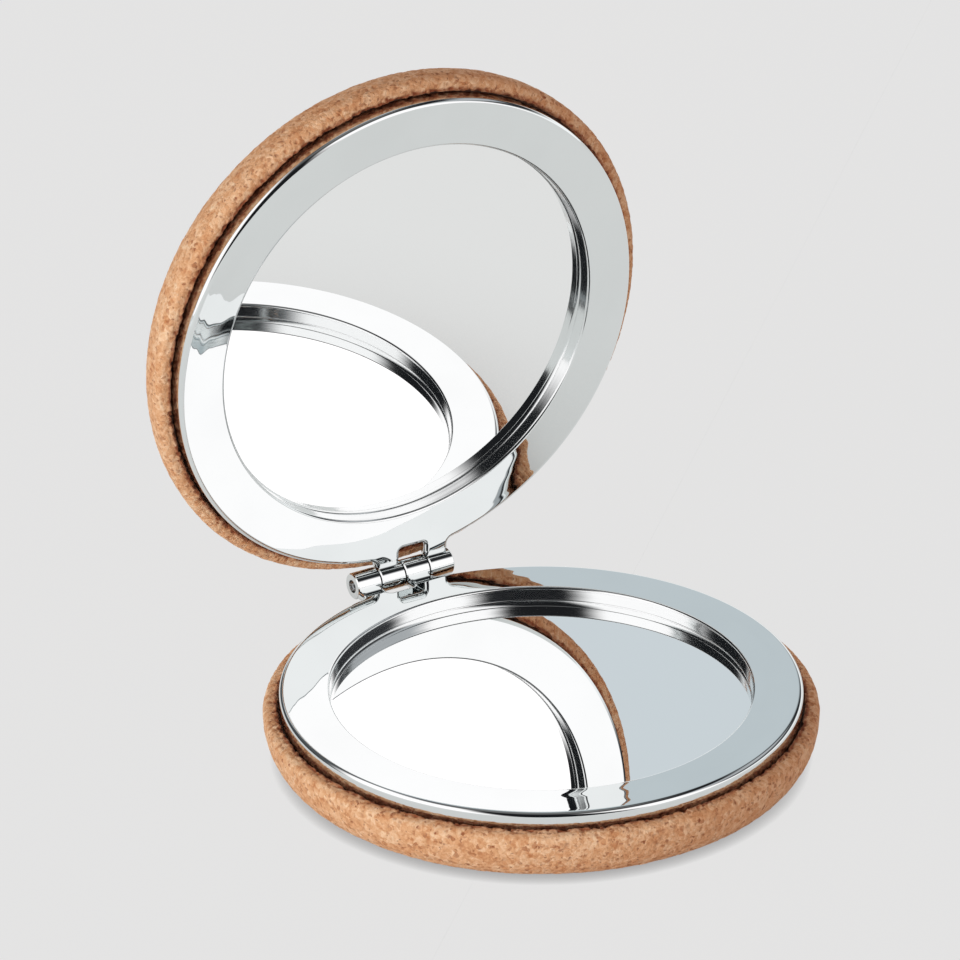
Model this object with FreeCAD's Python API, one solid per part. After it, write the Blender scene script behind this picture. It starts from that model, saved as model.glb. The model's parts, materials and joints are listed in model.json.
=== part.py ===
import FreeCAD, Part
import math
import os

from FreeCAD import Vector

# Round pocket mirror: two alike leaves, each a flat mirror in a chrome frame with a cork cover, joined by a
# pin hinge of four knuckles. Millimetres. A leaf is drawn with its frame's face on the plane z = 0, the cork
# below it and the hinge towards +Y. The part stands with the base leaf's cork back on z = 0.

# Mirror and what lies behind it
OPENING_RADIUS = 26.75
MIRROR_DEPTH = 2.2
MIRROR_THICKNESS = 1.8
MIRROR_OVERLAP = 2.5
MIRROR_PLAY = 0.2
MIRROR_ARRIS = 0.2
CARD_THICKNESS = 0.8
CUSHION_THICKNESS = 2.35
CUSHION_INSET = 0.8

# Frame: a flat face round the opening, a lip down to the mirror, a rim outside and a spigot below the rim
FACE_WIDTH = 6.4
FACE_THICKNESS = 1.0
OUTER_EDGE_ROUND = 0.65
INNER_EDGE_ROUND = 0.4
LIP_WALL = 1.0
BEAD_PROUD = 0.25
BEAD_HEIGHT = 0.6
RIB_WALL = 0.8
RIM_HEIGHT = 2.7
SPIGOT_LENGTH = 1.6
SPIGOT_WALL = 0.9

# Tray of pressed tinplate, which the spigot plugs into
TRAY_WALL = 0.5
TRAY_CORNER = 3.2
TRAY_CLEARANCE = 0.05

# Cork cover, glued round the tray, with its rim a little below the frame's face
CORK_WALL = 1.75
CORK_BACK = 1.6
CORK_GAP = 0.3
CORK_RIM_DEPTH = 2.1
CORK_RIM_ROUND = 0.65
CORK_INNER_ROUND = 0.5
CORK_CORNER_WIDTH = 4.3
GLUE_CLEARANCE = 0.05

# Hinge
HINGE_REACH = 2.35
HINGE_RISE = 0.1
KNUCKLE_RADIUS = 1.75
KNUCKLE_LENGTH = 3.5
KNUCKLE_GAP = 0.12
KNUCKLE_CHAMFER = 0.15
FINGER_FILLET = 0.9
NOTCH_BITE = 1.2
NOTCH_DEPTH = 2.1
NOTCH_FILLET = 0.5
PIN_RADIUS = 0.85
PIN_CLEARANCE = 0.04
PIN_RECESS = 0.5
PIN_CHAMFER = 0.15
OPEN_ANGLE = 85.5

# Radii that follow from these
MIRROR_RADIUS = OPENING_RADIUS + MIRROR_OVERLAP
RIM_RADIUS = OPENING_RADIUS + FACE_WIDTH
CORK_INNER_RADIUS = RIM_RADIUS + CORK_GAP
CORK_RADIUS = CORK_INNER_RADIUS + CORK_WALL
TRAY_RADIUS = CORK_INNER_RADIUS - GLUE_CLEARANCE
SPIGOT_RADIUS = TRAY_RADIUS - TRAY_WALL - TRAY_CLEARANCE

# Depths below the frame's face that follow from these
CARD_DEPTH = MIRROR_DEPTH + MIRROR_THICKNESS
CUSHION_DEPTH = CARD_DEPTH + CARD_THICKNESS
TRAY_FLOOR_DEPTH = CUSHION_DEPTH + CUSHION_THICKNESS
TRAY_DEPTH = TRAY_FLOOR_DEPTH + TRAY_WALL
CORK_FLOOR_DEPTH = TRAY_DEPTH + GLUE_CLEARANCE
LEAF_THICKNESS = CORK_FLOOR_DEPTH + CORK_BACK

# The hinge axis in a leaf, and the middles of the two knuckles that a leaf has of the four
HINGE_Y = RIM_RADIUS + HINGE_REACH
KNUCKLE_PITCH = KNUCKLE_LENGTH + KNUCKLE_GAP
OUTER_KNUCKLE_X = -1.5 * KNUCKLE_PITCH
INNER_KNUCKLE_X = 0.5 * KNUCKLE_PITCH
HINGE_HALF_LENGTH = 1.5 * KNUCKLE_PITCH + KNUCKLE_LENGTH / 2

ORIGIN = Vector(0, 0, 0)
X_AXIS = Vector(1, 0, 0)
Z_AXIS = Vector(0, 0, 1)


def section(radius, depth):
    """A point of a leaf's cross-section, by its radius and its depth below the frame's face."""
    return Vector(radius, 0, -depth)


def line(start, end):
    return Part.makeLine(start, end)


def round_corner(start, corner, end):
    """A quarter circle from start to end, tangent there to the two lines that meet in corner."""
    centre = start + end - corner
    middle = centre + (corner - centre) * math.sqrt(0.5)
    return Part.Arc(start, middle, end).toShape()


def oval_corner(start, corner, end):
    """A quarter ellipse from start to end, tangent there to the two lines that meet in corner."""
    curve = Part.BezierCurve()
    curve.setPoles([start, corner, end])
    curve.setWeight(2, math.sqrt(0.5))
    return curve.toShape()


def turned(edges):
    """The solid that a closed run of section edges sweeps round the leaf's axis."""
    return Part.Face(Part.Wire(edges)).revolve(ORIGIN, Z_AXIS, 360)


def disc(radius, depth, thickness):
    return Part.makeCylinder(radius, thickness, section(0, depth + thickness), Z_AXIS)


def hinge_turned(start, end, radius, chamfer):
    """A chamfered round bar on the hinge axis, from x = start to x = end."""
    outline = [
        (start, 0),
        (start, radius - chamfer),
        (start + chamfer, radius),
        (end - chamfer, radius),
        (end, radius - chamfer),
        (end, 0),
        (start, 0),
    ]
    points = [Vector(x, HINGE_Y + r, HINGE_RISE) for x, r in outline]
    return Part.Face(Part.makePolygon(points)).revolve(Vector(0, HINGE_Y, HINGE_RISE), X_AXIS, 360)


def mirror_glass():
    """A glass disc whose sharp edges are ground off."""
    blank = disc(MIRROR_RADIUS, MIRROR_DEPTH, MIRROR_THICKNESS)
    rims = [e for e in blank.Edges if e.BoundBox.ZLength < MIRROR_ARRIS]
    return blank.makeChamfer(MIRROR_ARRIS, rims)


def mirror_card():
    return disc(MIRROR_RADIUS, CARD_DEPTH, CARD_THICKNESS)


def mirror_cushion():
    return disc(MIRROR_RADIUS - CUSHION_INSET, CUSHION_DEPTH, CUSHION_THICKNESS)


def tray():
    """A dish with a rounded corner, whose edge butts against the step under the frame's rim."""
    inner_radius = TRAY_RADIUS - TRAY_WALL
    bend_depth = TRAY_DEPTH - TRAY_CORNER
    bend_radius = TRAY_RADIUS - TRAY_CORNER
    outer_edge = section(TRAY_RADIUS, RIM_HEIGHT)
    inner_edge = section(inner_radius, RIM_HEIGHT)
    outer_wall_end = section(TRAY_RADIUS, bend_depth)
    inner_wall_end = section(inner_radius, bend_depth)
    outer_floor_end = section(bend_radius, TRAY_DEPTH)
    inner_floor_end = section(bend_radius, TRAY_FLOOR_DEPTH)
    outer_middle = section(0, TRAY_DEPTH)
    inner_middle = section(0, TRAY_FLOOR_DEPTH)
    return turned([
        line(outer_middle, outer_floor_end),
        round_corner(outer_floor_end, section(TRAY_RADIUS, TRAY_DEPTH), outer_wall_end),
        line(outer_wall_end, outer_edge),
        line(outer_edge, inner_edge),
        line(inner_edge, inner_wall_end),
        round_corner(inner_wall_end, section(inner_radius, TRAY_FLOOR_DEPTH), inner_floor_end),
        line(inner_floor_end, inner_middle),
        line(inner_middle, outer_middle),
    ])


def cork_cover():
    """A cup with an oval shoulder outside, the tray's shape inside and a rim rounded on both edges."""
    flat_radius = CORK_RADIUS - CORK_CORNER_WIDTH
    widest_depth = CORK_RIM_DEPTH + CORK_RIM_ROUND
    bend_depth = TRAY_DEPTH - TRAY_CORNER
    bend_radius = TRAY_RADIUS - TRAY_CORNER
    back_middle = section(0, LEAF_THICKNESS)
    back_end = section(flat_radius, LEAF_THICKNESS)
    widest = section(CORK_RADIUS, widest_depth)
    rim_outer = section(CORK_RADIUS - CORK_RIM_ROUND, CORK_RIM_DEPTH)
    rim_inner = section(CORK_INNER_RADIUS + CORK_INNER_ROUND, CORK_RIM_DEPTH)
    wall_top = section(CORK_INNER_RADIUS, CORK_RIM_DEPTH + CORK_INNER_ROUND)
    wall_end = section(CORK_INNER_RADIUS, bend_depth)
    floor_end = section(bend_radius, CORK_FLOOR_DEPTH)
    floor_middle = section(0, CORK_FLOOR_DEPTH)
    return turned([
        line(back_middle, back_end),
        oval_corner(back_end, section(CORK_RADIUS, LEAF_THICKNESS), widest),
        round_corner(widest, section(CORK_RADIUS, CORK_RIM_DEPTH), rim_outer),
        line(rim_outer, rim_inner),
        round_corner(rim_inner, section(CORK_INNER_RADIUS, CORK_RIM_DEPTH), wall_top),
        line(wall_top, wall_end),
        round_corner(wall_end, section(CORK_INNER_RADIUS, CORK_FLOOR_DEPTH), floor_end),
        line(floor_end, floor_middle),
        line(floor_middle, back_middle),
    ])


def frame_ring():
    """The frame without its hinge: face, lip with a bead that holds the mirror down, rim, spigot and rib."""
    bead_radius = OPENING_RADIUS - BEAD_PROUD
    bead_depth = MIRROR_DEPTH - BEAD_HEIGHT
    lip_radius = OPENING_RADIUS + LIP_WALL
    spigot_depth = RIM_HEIGHT + SPIGOT_LENGTH
    spigot_inner = SPIGOT_RADIUS - SPIGOT_WALL
    inner_wall_top = section(OPENING_RADIUS, INNER_EDGE_ROUND)
    face_inner = section(OPENING_RADIUS + INNER_EDGE_ROUND, 0)
    face_outer = section(RIM_RADIUS - OUTER_EDGE_ROUND, 0)
    outer_wall_top = section(RIM_RADIUS, OUTER_EDGE_ROUND)
    below = [
        section(RIM_RADIUS, RIM_HEIGHT),
        section(SPIGOT_RADIUS, RIM_HEIGHT),
        section(SPIGOT_RADIUS, spigot_depth),
        section(spigot_inner, spigot_depth),
        section(spigot_inner, FACE_THICKNESS),
        section(lip_radius, FACE_THICKNESS),
        section(lip_radius, MIRROR_DEPTH),
        section(bead_radius, MIRROR_DEPTH),
        section(bead_radius, bead_depth),
        section(OPENING_RADIUS, bead_depth - BEAD_PROUD),
    ]
    ring = turned([
        round_corner(inner_wall_top, section(OPENING_RADIUS, 0), face_inner),
        line(face_inner, face_outer),
        round_corner(face_outer, section(RIM_RADIUS, 0), outer_wall_top),
        line(outer_wall_top, below[0]),
        *Part.makePolygon(below).Edges,
        line(below[-1], inner_wall_top),
    ])
    rib_radius = MIRROR_RADIUS + MIRROR_PLAY
    rib_height = CARD_DEPTH - FACE_THICKNESS
    rib = disc(rib_radius + RIB_WALL, FACE_THICKNESS, rib_height)
    return ring.fuse(rib.cut(disc(rib_radius, FACE_THICKNESS, rib_height))).removeSplitter()


def finger_root(side_x, outward):
    """The fillet between a finger's side and the rim: its end on the rim, its middle and its other end."""
    centre_x = side_x + outward * FINGER_FILLET
    reach = RIM_RADIUS + FINGER_FILLET
    centre = Vector(centre_x, math.sqrt(reach ** 2 - centre_x ** 2), 0)
    on_rim = centre * (RIM_RADIUS / reach)
    on_side = Vector(side_x, centre.y, 0)
    inward = (on_rim + on_side - centre * 2).normalize()
    return on_rim, centre + inward * FINGER_FILLET, on_side


def finger_plate(left, right):
    """The flat tongue that both fingers are cut from, level with the face and rounded along two sides."""
    left_rim, left_middle, left_side = finger_root(left, -1)
    right_rim, right_middle, right_side = finger_root(right, 1)
    towards_middle = 1 - FACE_WIDTH / 2 / RIM_RADIUS
    inside = [right_rim, right_rim * towards_middle, left_rim * towards_middle, left_rim]
    outside = [left_side, Vector(left, HINGE_Y, 0), Vector(right, HINGE_Y, 0), right_side]
    outline = Part.Wire([
        Part.Arc(left_rim, left_middle, left_side).toShape(),
        *Part.makePolygon(outside).Edges,
        Part.Arc(right_side, right_middle, right_rim).toShape(),
        *Part.makePolygon(inside).Edges,
    ])
    plate = Part.Face(outline).extrude(Vector(0, 0, -FACE_THICKNESS))
    sides = [e for e in top_edges(plate) if on_finger_side(e, left, right)]
    return plate.makeFillet(OUTER_EDGE_ROUND, sides)


def top_edges(shape):
    return [e for e in shape.Edges if abs(e.BoundBox.ZMin) < 1e-6 and abs(e.BoundBox.ZMax) < 1e-6]


def on_finger_side(edge, left, right):
    """Whether a top edge runs along a finger's outer side or along the fillet at its root."""
    middle = edge.CenterOfMass
    outside_rim = math.hypot(middle.x, middle.y) > RIM_RADIUS
    return outside_rim and not left + 1e-6 < middle.x < right - 1e-6


def notch(left, right):
    """The gap between the two fingers, with rounded inner corners, cut into the rim's edge."""
    bottom = RIM_RADIUS - NOTCH_BITE
    reach = HINGE_Y + KNUCKLE_RADIUS - bottom
    block = Part.makeBox(right - left, reach, 2 * NOTCH_DEPTH, Vector(left, bottom, -NOTCH_DEPTH))
    upright = [e for e in block.Edges if e.BoundBox.ZLength > NOTCH_DEPTH]
    return block.makeFillet(NOTCH_FILLET, [e for e in upright if e.CenterOfMass.y < HINGE_Y])


def frame(bore_radius):
    """The cast frame: ring, two fingers and a bored knuckle on each."""
    half = KNUCKLE_LENGTH / 2
    left = OUTER_KNUCKLE_X - half
    right = INNER_KNUCKLE_X + half
    gap_left = OUTER_KNUCKLE_X + half
    gap_right = INNER_KNUCKLE_X - half
    body = frame_ring().fuse(finger_plate(left, right)).removeSplitter()
    body = body.cut(notch(gap_left, gap_right))
    notch_edges = [e for e in top_edges(body) if in_notch(e, gap_left, gap_right)]
    body = body.makeFillet(OUTER_EDGE_ROUND, notch_edges)
    knuckles = [
        hinge_turned(middle - half, middle + half, KNUCKLE_RADIUS, KNUCKLE_CHAMFER)
        for middle in (OUTER_KNUCKLE_X, INNER_KNUCKLE_X)
    ]
    bore_start = Vector(-HINGE_HALF_LENGTH, HINGE_Y, HINGE_RISE)
    bore = Part.makeCylinder(bore_radius, 2 * HINGE_HALF_LENGTH, bore_start, X_AXIS)
    return body.fuse(knuckles).removeSplitter().cut(bore)


def in_notch(edge, left, right):
    """Whether a top edge borders the gap between the fingers."""
    box = edge.BoundBox
    inside = box.XMin > left - 1e-6 and box.XMax < right + 1e-6
    return inside and box.YMin > RIM_RADIUS - NOTCH_BITE - 1e-6


def hinge_pin():
    """The pin, a little short of the outer knuckles' ends."""
    end = HINGE_HALF_LENGTH - PIN_RECESS
    return hinge_turned(-end, end, PIN_RADIUS, PIN_CHAMFER)


def on_base(shape):
    """A leaf's piece as it stands in the base, cork back down."""
    placed = shape.copy()
    placed.translate(Vector(0, 0, LEAF_THICKNESS))
    return placed


def on_lid(shape):
    """A leaf's piece as it stands in the lid: turned end for end about the hinge, then raised."""
    placed = shape.copy()
    hinge = Vector(0, HINGE_Y, HINGE_RISE)
    placed.rotate(hinge, Z_AXIS, 180)
    placed.rotate(hinge, X_AXIS, 180 - OPEN_ANGLE)
    return on_base(placed)


def leaf(bore_radius):
    """One leaf's pieces by name. The bore is tight on the pin in the base and runs on it in the lid."""
    return {
        "cork_cover": cork_cover(),
        "tray": tray(),
        "mirror_cushion": mirror_cushion(),
        "mirror_card": mirror_card(),
        "mirror_glass": mirror_glass(),
        "frame": frame(bore_radius),
    }


def parts():
    pieces = {"base_" + name: on_base(shape) for name, shape in leaf(PIN_RADIUS).items()}
    pieces.update({"lid_" + name: on_lid(shape) for name, shape in leaf(PIN_RADIUS + PIN_CLEARANCE).items()})
    pieces["hinge_pin"] = on_base(hinge_pin())
    return pieces


os.makedirs("parts", exist_ok=True)
for node, shape in parts().items():
    shape.exportStep("parts/" + node + ".step")
    print(node, shape.ShapeType, len(shape.Solids), shape.isValid(), round(shape.Volume, 1))
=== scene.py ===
import json
import math
from typing import NamedTuple

import bpy
import numpy as np
from bpy.props import FloatProperty, FloatVectorProperty, IntProperty, PointerProperty
from mathutils import Matrix, Vector


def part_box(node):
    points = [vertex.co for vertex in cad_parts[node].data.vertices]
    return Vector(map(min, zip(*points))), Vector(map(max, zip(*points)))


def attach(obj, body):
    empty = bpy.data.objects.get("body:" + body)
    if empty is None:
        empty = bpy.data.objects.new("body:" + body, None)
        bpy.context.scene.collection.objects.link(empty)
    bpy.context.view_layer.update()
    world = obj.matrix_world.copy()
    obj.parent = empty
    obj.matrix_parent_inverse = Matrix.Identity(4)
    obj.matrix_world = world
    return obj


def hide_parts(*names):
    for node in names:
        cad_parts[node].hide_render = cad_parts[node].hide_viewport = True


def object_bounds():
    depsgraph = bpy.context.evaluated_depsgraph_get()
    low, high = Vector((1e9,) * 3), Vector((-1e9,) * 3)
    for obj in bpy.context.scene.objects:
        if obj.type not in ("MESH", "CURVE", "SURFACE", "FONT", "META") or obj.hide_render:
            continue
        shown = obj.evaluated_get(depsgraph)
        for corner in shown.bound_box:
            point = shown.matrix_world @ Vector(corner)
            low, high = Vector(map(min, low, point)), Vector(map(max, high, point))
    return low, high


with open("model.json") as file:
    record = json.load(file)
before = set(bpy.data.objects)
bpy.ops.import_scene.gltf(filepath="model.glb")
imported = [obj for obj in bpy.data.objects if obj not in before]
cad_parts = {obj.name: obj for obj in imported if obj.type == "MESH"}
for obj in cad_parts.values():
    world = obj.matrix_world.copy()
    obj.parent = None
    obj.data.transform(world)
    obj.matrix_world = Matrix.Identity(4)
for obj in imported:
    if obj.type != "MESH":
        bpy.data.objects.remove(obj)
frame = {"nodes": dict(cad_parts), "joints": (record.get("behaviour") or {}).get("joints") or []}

bl_info = {
    "name": "Cork pocket mirror",
    "version": (1, 0, 0),
    "blender": (4, 5, 0),
    "location": "3D View > Sidebar > Pocket mirror",
    "description": "Dresses a round pocket mirror: cork covers, chrome frames, mirrors, pin and stage",
    "category": "Object",
}

# What the frame gives, in metres. A leaf is described as it stands in the base, cork back on z = 0.
CAD_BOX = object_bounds()
HINGE = frame["joints"][0]
HINGE_POINT = Vector(HINGE["pos_m"])
CORK_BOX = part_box("base_cork_cover")
FRAME_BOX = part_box("base_frame")
TRAY_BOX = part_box("base_tray")
GLASS_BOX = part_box("base_mirror_glass")
FOAM_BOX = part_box("base_mirror_cushion")
# How far the hinge's axis lies above the frames' faces, which keeps them apart when closed.
HINGE_RISE = 0.0001
FACE_HEIGHT = HINGE_POINT.z - HINGE_RISE
RIM_RADIUS = FRAME_BOX[1].x
# A step too small to see, between edges that would otherwise lie on each other.
HAIR = 0.000002


def lid_place():
    """Where the lid's leaf is: the base's, turned end for end about the hinge and raised to rest."""
    to_hinge = Matrix.Translation(HINGE_POINT)
    raised = Matrix.Rotation(-math.radians(HINGE["range_deg"][1]), 4, Vector(HINGE["axis"]))
    return to_hinge @ raised @ Matrix.Rotation(math.pi, 4, "Z") @ to_hinge.inverted()


LEAVES = {"base": Matrix.Identity(4), "lid": lid_place()}


# Properties

def length(name, description, default):
    return FloatProperty(
        name=name, description=description, default=default, min=0, precision=5, unit="LENGTH"
    )


def angle(name, description, degrees):
    return FloatProperty(
        name=name, description=description, default=math.radians(degrees), precision=4, subtype="ANGLE"
    )


def share(name, description, default):
    return FloatProperty(
        name=name, description=description, default=default, min=0, max=1, subtype="FACTOR"
    )


def count(name, description, default):
    return IntProperty(name=name, description=description, default=default, min=3)


def colour(name, description, default):
    return FloatVectorProperty(
        name=name, description=description, default=default, size=3, min=0, max=1, subtype="COLOR"
    )


class CorkSettings(bpy.types.PropertyGroup):
    """The cork covers' shape, relief and colours."""

    shoulder_width: length("Shoulder width", "How far in the rounded shoulder reaches on the back", 0.0043)
    rim_round: length("Rim round", "Radius of the outer edge of the rim", 0.0011)
    edge_depth: length("Edge depth", "How deep the rim's torn edge beside the frame is", 0.0005)
    edge_width: length("Edge width", "How wide that edge is on the rim", 0.0002)
    inner_corner: length("Inner corner", "Radius of the inner corner that lies on the tray", 0.0032)
    glue: length("Glue", "Room for the glue between cork and tray", 0.00005)
    columns: count("Columns", "Mesh columns round the cover", 960)
    granule: length("Granule", "Size of a cork granule", 0.0011)
    relief: length("Relief", "Depth of the relief between granules", 0.0001)
    pit: length("Pit", "Depth of the deepest pits", 0.00022)
    fringe: length("Fringe", "How far the torn edge reaches in over the tray", 0.00018)
    swell: length("Swell", "How far the torn edge stands up", 0.0002)
    rag: length("Rag", "Depth of the tears in that edge", 0.0004)
    torn_width: length("Torn width", "How far out from the frame the rim is torn", 0.0004)
    pale: colour("Pale granules", "Colour of the palest granules", (0.91, 0.65, 0.425))
    tan: colour("Tan granules", "Colour of most granules", (0.74, 0.41, 0.215))
    brown: colour("Brown granules", "Colour of the darkest granules", (0.56, 0.23, 0.09))
    # The burnt colour is the specks' own colour, and also the painted shade on the torn edge beside the frame.
    burnt: colour("Specks", "Colour of the burnt specks and pits", (0.30, 0.085, 0.032))


class FrameSettings(bpy.types.PropertyGroup):
    """The cast frames' shape."""

    opening_radius: length("Opening", "Radius of the opening over the mirror", 0.02675)
    face_thickness: length("Face thickness", "Thickness of the face and of the hinge's fingers", 0.001)
    outer_round: length("Outer round", "Radius of the face's outer edge", 0.00065)
    inner_round: length("Inner round", "Radius of the face's inner edge", 0.0004)
    lip_wall: length("Lip wall", "Thickness of the wall round the opening", 0.001)
    bead_proud: length("Bead", "How far the bead over the mirror stands into the opening", 0.00025)
    bead_height: length("Bead height", "Height of that bead", 0.0005)
    draft: length("Draft", "How far in the wall of the opening leans down to the bead", 0.00012)
    mirror_play: length("Mirror play", "Room round the mirror", 0.0002)
    rib_wall: length("Rib wall", "Thickness of the rib round the mirror", 0.0008)
    rim_height: length("Rim height", "From the face down to the step over the tray", 0.0027)
    step_width: length("Step", "Width of that step", 0.0003)
    spigot_wall: length("Spigot wall", "Thickness of the spigot in the tray", 0.0009)
    finger_fillet: length("Finger fillet", "Radius between a finger and the rim", 0.0009)
    notch_bite: length("Notch", "How far the notch between the fingers cuts into the rim", 0.0012)
    notch_depth: length("Notch depth", "How deep that notch is", 0.0021)
    notch_fillet: length("Notch fillet", "Radius of the notch's inner corners", 0.0005)
    knuckle_radius: length("Knuckle radius", "Radius of a hinge knuckle", 0.00175)
    knuckle_length: length("Knuckle length", "Length of a hinge knuckle", 0.0035)
    knuckle_gap: length("Knuckle gap", "Room between two knuckles", 0.00012)
    knuckle_chamfer: length("Knuckle chamfer", "Chamfer on a knuckle's ends", 0.00015)
    bore_radius: length("Bore", "Radius of a knuckle's bore", 0.00087)
    rim_columns: count("Rim columns", "Mesh columns along the rim", 600)
    knuckle_columns: count("Knuckle columns", "Mesh columns round a knuckle", 96)
    round_rows: count("Round rows", "Mesh rows over a rounded edge", 9)


class ChromeSettings(bpy.types.PropertyGroup):
    """The plated frames' finish."""

    tint: colour("Tint", "Colour of the plating", (0.775, 0.805, 0.805))
    roughness: share("Roughness", "Roughness of the polish", 0.014)
    ripple: length("Ripple", "Height of the casting's ripple under the plating", 0.0001)
    ripple_size: length("Ripple size", "Width of one ripple", 0.0042)
    wall_roughness: share("Wall roughness", "Roughness that turning leaves on the wall of the opening", 0.1)
    line: length("Turning lines", "Height of the lines round that wall", 0.00001)
    line_pitch: length("Line pitch", "Distance from one turning line to the next", 0.0005)


class MirrorSettings(bpy.types.PropertyGroup):
    """The mirror glasses' finish."""

    silver: colour("Silver", "Colour that the mirror reflects", (0.93, 0.94, 0.94))
    lacquer: colour("Lacquer", "Colour of the paint on the back", (0.22, 0.23, 0.24))
    edge: colour("Edge", "Colour of the ground glass edge", (0.35, 0.52, 0.46))
    smudge: share("Smudge", "Most roughness that handling adds", 0.012)


class InnerSettings(bpy.types.PropertyGroup):
    """The pieces behind the mirrors and the pin."""

    foam: colour("Foam", "Colour of the foam cushions", (0.84, 0.84, 0.81))
    board: colour("Board", "Colour of the grey board", (0.44, 0.43, 0.41))
    tin: colour("Tin", "Colour of the tinned trays", (0.64, 0.64, 0.62))
    # Painted shade: the dark band along the top of each tray, seen in the shaded gap between cork and frame.
    glue: colour("Glue", "Colour of the glue along a tray's top edge", (0.13, 0.055, 0.032))
    steel: colour("Steel", "Colour of the pin", (0.56, 0.56, 0.57))
    bulge: length("Bulge", "How far the foam's side swells out", 0.00032)
    cushion_columns: count("Columns", "Mesh columns round a cushion", 192)


class StageSettings(bpy.types.PropertyGroup):
    """The camera, floor and light."""

    azimuth: angle("Azimuth", "Where the camera stands round the object, 0 in front", -30.913)
    elevation: angle("Elevation", "How high the camera stands", 28.379)
    distance: length("Distance", "From the middle of the base's face to the camera", 1.0276)
    lens: FloatProperty(
        name="Lens", description="Focal length on a 36 mm sensor", default=305.0, unit="CAMERA"
    )
    turn: angle("Turn", "How far to the right of that middle the camera points", -0.4309)
    tilt: angle("Tilt", "How far above that middle the camera points", 1.4487)
    backdrop: colour("Backdrop", "Colour that the floor shows", (0.79, 0.79, 0.79))
    floor_albedo: share("Floor", "Share of the light that the floor throws back", 0.82)
    shadow: share("Shadow", "Share of the object's full shadow that the floor shows", 0.05)
    contact: share("Contact shadow", "How dark the floor is where the object touches it", 0.5)
    contact_reach: length("Contact reach", "How far that shadow reaches", 0.0016)
    mirrored: colour("Mirrored backdrop", "Colour that the floor shows in the mirrors", (0.90, 0.92, 0.92))
    mirrored_shadow: share("Mirrored shadow", "Share of the object's shadow that it shows there", 0.25)
    mirrored_contact: share("Mirrored contact", "How dark it is there where the object touches it", 0.8)
    mirrored_reach: length("Mirrored reach", "How far that shadow reaches", 0.03)
    ambient: colour("Ambient", "Light from all round on the matt surfaces", (0.335, 0.25, 0.215))
    floor_size: length("Floor size", "Half the floor's width", 20.0)


# Shader nodes

def adds_math(operation, reflected=False):
    """An operator of Number: it adds a Math node with that operation."""

    def operator(number, *others):
        values = (*others, number) if reflected else (number, *others)
        return number.nodes.math(operation, *values)

    return operator


class Number:
    """One number on a socket. Arithmetic with it adds Math nodes to its tree."""

    def __init__(self, nodes, socket):
        self.nodes = nodes
        self.socket = socket

    __add__ = adds_math("ADD")
    __radd__ = adds_math("ADD", reflected=True)
    __sub__ = adds_math("SUBTRACT")
    __rsub__ = adds_math("SUBTRACT", reflected=True)
    __mul__ = adds_math("MULTIPLY")
    __rmul__ = adds_math("MULTIPLY", reflected=True)
    __pow__ = adds_math("POWER")
    __abs__ = adds_math("ABSOLUTE")


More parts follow.
